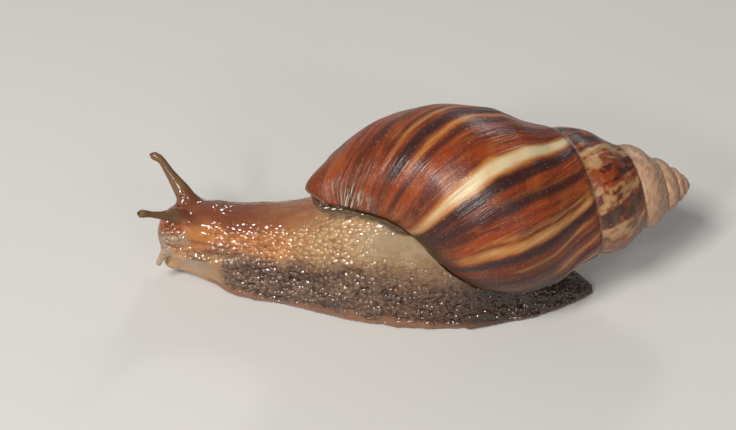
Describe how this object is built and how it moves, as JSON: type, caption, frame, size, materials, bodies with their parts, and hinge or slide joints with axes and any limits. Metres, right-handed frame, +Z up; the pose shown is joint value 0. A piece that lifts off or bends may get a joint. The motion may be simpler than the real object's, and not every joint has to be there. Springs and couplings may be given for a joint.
{
  "type": "giant african land snail",
  "caption": "Life-size still model of a giant african land snail gliding at full stretch: long tapering spiral shell, broad flat foot, raised neck and four feelers out.",
  "frame": {"origin": "on the floor under the middle of the animal's bounding box", "axes": "+X towards the tail and the shell's tip, the head towards -X; +Y to the animal's right; +Z up"},
  "size_m": [0.1282, 0.0444, 0.0497],
  "materials": {
    "shell": "glossy chestnut shell with cream and dark streaks, worn pale at the tip",
    "skin": "wet orange-brown skin with fine raised grains",
    "foot": "wet dark brown skin with coarse raised grains",
    "mantle": "wet smooth grey-brown",
    "eye": "glossy dark"
  },
  "bodies": {
    "root": {"shell": "shell", "mantle_collar": "mantle", "head": "skin", "neck": "skin", "trunk": "skin", "foot_front": "foot", "foot_middle": "foot", "tail": "foot", "upper_tentacle_right_root": "skin", "upper_tentacle_right_stalk": "skin", "upper_tentacle_left_root": "skin", "upper_tentacle_left_stalk": "skin", "lower_tentacle_right": "skin", "lower_tentacle_left": "skin", "lip_left": "skin", "lip_right": "skin", "eye_right": "eye", "eye_left": "eye"}
  },
  "joints": []
}
